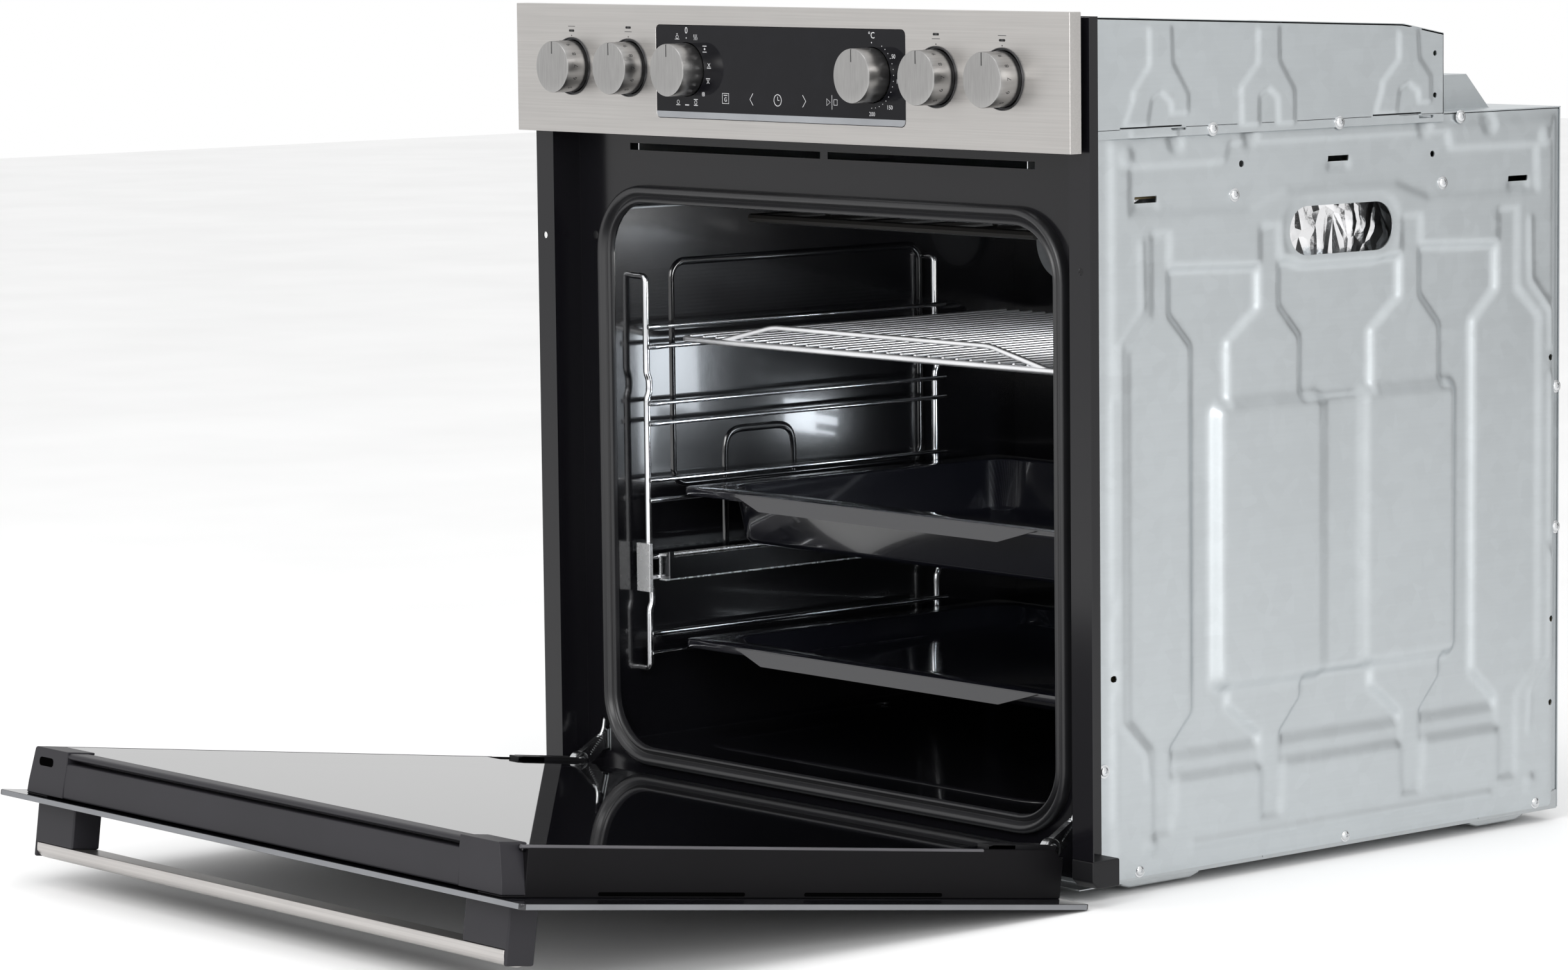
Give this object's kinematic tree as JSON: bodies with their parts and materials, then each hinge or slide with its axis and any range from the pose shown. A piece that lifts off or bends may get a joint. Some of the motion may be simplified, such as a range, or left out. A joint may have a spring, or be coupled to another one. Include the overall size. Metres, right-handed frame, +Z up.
{
  "type": "wall oven",
  "caption": "Built-in wall oven with a drop-down glass door, pressed steel housing, enamelled cavity, racks, trays, hob and oven knobs on a steel fascia.",
  "frame": {"origin": "middle of the base's front edge, on the cabinet shelf, in the plane of the cabinet's front", "axes": "+X to the right seen from the front, +Y into the cabinet, +Z up"},
  "size_m": [0.596, 0.9718, 0.6002],
  "materials": {
    "galvanised": "galvanised sheet with a fine spangle",
    "enamel": "glossy black vitreous enamel",
    "frame_enamel": "satin dark grey enamel",
    "seal": "matt silicone rubber",
    "black_plastic": "fine moulded texture",
    "mineral_wool": "pressed mineral wool with foil facing",
    "brushed_steel": "horizontal brushed stainless steel",
    "black_glass": "black back-printed glass",
    "circuit": "solder-masked circuit board",
    "control_ceramic": "moulded switch bodies",
    "collar": "dark satin plastic",
    "spindle_steel": "turned steel",
    "knob_metal": "turned face, brushed skirt",
    "element": "heat-tinted steel sheath",
    "fan_steel": "pressed steel",
    "motor_metal": "zinc plated laminations",
    "lamp_ceramic": "glazed lamp holder",
    "lens_glass": "clear pressed glass",
    "duct_steel": "galvanised sheet",
    "chrome_wire": "bright chrome plated wire",
    "runner_steel": "zinc plated rail",
    "tray_enamel": "glossy black enamel with fine speckle",
    "hinge_steel": "zinc plated steel",
    "door_glass": "dark tinted outer glass",
    "clear_glass": "heat reflecting clear glass",
    "door_plastic": "dark grey heat resistant plastic",
    "bar_steel": "lengthways brushed stainless steel",
    "screw_steel": "zinc plated screws"
  },
  "bodies": {
    "housing": {"base_pan": "galvanised", "side_panel_left": "galvanised", "side_panel_right": "galvanised", "rear_panel": "galvanised", "rear_cover": "galvanised", "top_cover": "galvanised", "front_frame": "frame_enamel", "door_gasket": "seal", "frame_corners": "black_plastic", "cavity": "enamel", "insulation": "mineral_wool", "fascia": "brushed_steel", "fascia_carrier": "black_plastic", "display_window": "black_glass", "control_board": "circuit", "control_units": "control_ceramic", "knob_collars": "collar", "grill_element": "element", "bottom_element": "element", "ring_element": "element", "fan_cover": "enamel", "fan_motor": "motor_metal", "oven_lamp": "lamp_ceramic", "lamp_lens": "lens_glass", "cooling_blower": "motor_metal", "air_duct": "duct_steel", "terminal_box": "black_plastic", "rack_left": "chrome_wire", "rack_right": "chrome_wire", "runner_rails": "runner_steel", "hinge_arms": "hinge_steel", "hinge_receivers": "hinge_steel", "housing_screws": "screw_steel"},
    "door": {"door_panel": "door_glass", "door_frame": "door_plastic", "door_trim": "door_plastic", "door_inner_glass": "clear_glass", "door_middle_glass": "clear_glass", "hinge_bodies": "hinge_steel", "handle_posts": "door_plastic", "handle_bar": "bar_steel"},
    "wire_shelf": {"wire_shelf": "chrome_wire"},
    "deep_tray": {"deep_tray": "tray_enamel"},
    "shallow_tray": {"shallow_tray": "tray_enamel"},
    "runner_slide_left": {"runner_slide_left": "runner_steel"},
    "runner_slide_right": {"runner_slide_right": "runner_steel"},
    "convection_fan": {"convection_fan": "fan_steel"},
    "blower_rotor": {"blower_rotor": "fan_steel"},
    "hob_spindle_1": {"hob_spindle_1": "spindle_steel"},
    "hob_knob_1": {"hob_knob_1": "knob_metal"},
    "hob_spindle_2": {"hob_spindle_2": "spindle_steel"},
    "hob_knob_2": {"hob_knob_2": "knob_metal"},
    "hob_spindle_3": {"hob_spindle_3": "spindle_steel"},
    "hob_knob_3": {"hob_knob_3": "knob_metal"},
    "hob_spindle_4": {"hob_spindle_4": "spindle_steel"},
    "hob_knob_4": {"hob_knob_4": "knob_metal"},
    "function_spindle": {"function_spindle": "spindle_steel"},
    "function_knob": {"function_knob": "knob_metal"},
    "temperature_spindle": {"temperature_spindle": "spindle_steel"},
    "temperature_knob": {"temperature_knob": "knob_metal"}
  },
  "joints": [
    {"name": "door_hinge", "type": "hinge", "parent": "housing", "child": "door", "pos_m": [0, -0.0021, 0.01065], "axis": [-1, 0, 0], "range_deg": [-7.5, 82.5]},
    {"name": "hob_turn_1", "type": "hinge", "parent": "housing", "child": "hob_spindle_1", "pos_m": [-0.232, 0, 0.5468], "axis": [0, 1, 0], "range_deg": [0, 290]},
    {"name": "hob_push_1", "type": "slide", "parent": "hob_spindle_1", "child": "hob_knob_1", "axis": [0, 1, 0], "range_m": [0, 0.012]},
    {"name": "hob_turn_2", "type": "hinge", "parent": "housing", "child": "hob_spindle_2", "pos_m": [-0.166, 0, 0.5468], "axis": [0, 1, 0], "range_deg": [0, 290]},
    {"name": "hob_push_2", "type": "slide", "parent": "hob_spindle_2", "child": "hob_knob_2", "axis": [0, 1, 0], "range_m": [0, 0.012]},
    {"name": "hob_turn_3", "type": "hinge", "parent": "housing", "child": "hob_spindle_3", "pos_m": [0.166, 0, 0.5468], "axis": [0, 1, 0], "range_deg": [0, 290]},
    {"name": "hob_push_3", "type": "slide", "parent": "hob_spindle_3", "child": "hob_knob_3", "axis": [0, 1, 0], "range_m": [0, 0.012]},
    {"name": "hob_turn_4", "type": "hinge", "parent": "housing", "child": "hob_spindle_4", "pos_m": [0.232, 0, 0.5468], "axis": [0, 1, 0], "range_deg": [0, 290]},
    {"name": "hob_push_4", "type": "slide", "parent": "hob_spindle_4", "child": "hob_knob_4", "axis": [0, 1, 0], "range_m": [0, 0.012]},
    {"name": "function_turn", "type": "hinge", "parent": "housing", "child": "function_spindle", "pos_m": [-0.1, 0, 0.5468], "axis": [0, 1, 0], "continuous": true},
    {"name": "function_push", "type": "slide", "parent": "function_spindle", "child": "function_knob", "axis": [0, 1, 0], "range_m": [0, 0.012]},
    {"name": "temperature_turn", "type": "hinge", "parent": "housing", "child": "temperature_spindle", "pos_m": [0.1, 0, 0.5468], "axis": [0, 1, 0], "range_deg": [0, 270]},
    {"name": "temperature_push", "type": "slide", "parent": "temperature_spindle", "child": "temperature_knob", "axis": [0, 1, 0], "range_m": [0, 0.012]},
    {"name": "wire_shelf_slide", "type": "slide", "parent": "housing", "child": "wire_shelf", "axis": [0, 1, 0], "range_m": [-0.3, 0]},
    {"name": "deep_tray_slide", "type": "slide", "parent": "housing", "child": "deep_tray", "axis": [0, 1, 0], "range_m": [-0.28, 0]},
    {"name": "shallow_tray_slide", "type": "slide", "parent": "housing", "child": "shallow_tray", "axis": [0, 1, 0], "range_m": [-0.28, 0]},
    {"name": "runner_travel_left", "type": "slide", "parent": "housing", "child": "runner_slide_left", "axis": [0, 1, 0], "range_m": [-0.22, 0]},
    {"name": "runner_travel_right", "type": "slide", "parent": "housing", "child": "runner_slide_right", "axis": [0, 1, 0], "range_m": [-0.22, 0]},
    {"name": "convection_spin", "type": "hinge", "parent": "housing", "child": "convection_fan", "pos_m": [0, 0.44, 0.25], "axis": [0, 1, 0], "continuous": true},
    {"name": "blower_spin", "type": "hinge", "parent": "housing", "child": "blower_rotor", "pos_m": [0, 0.266, 0.52], "axis": [0, 0, 1], "continuous": true}
  ]
}
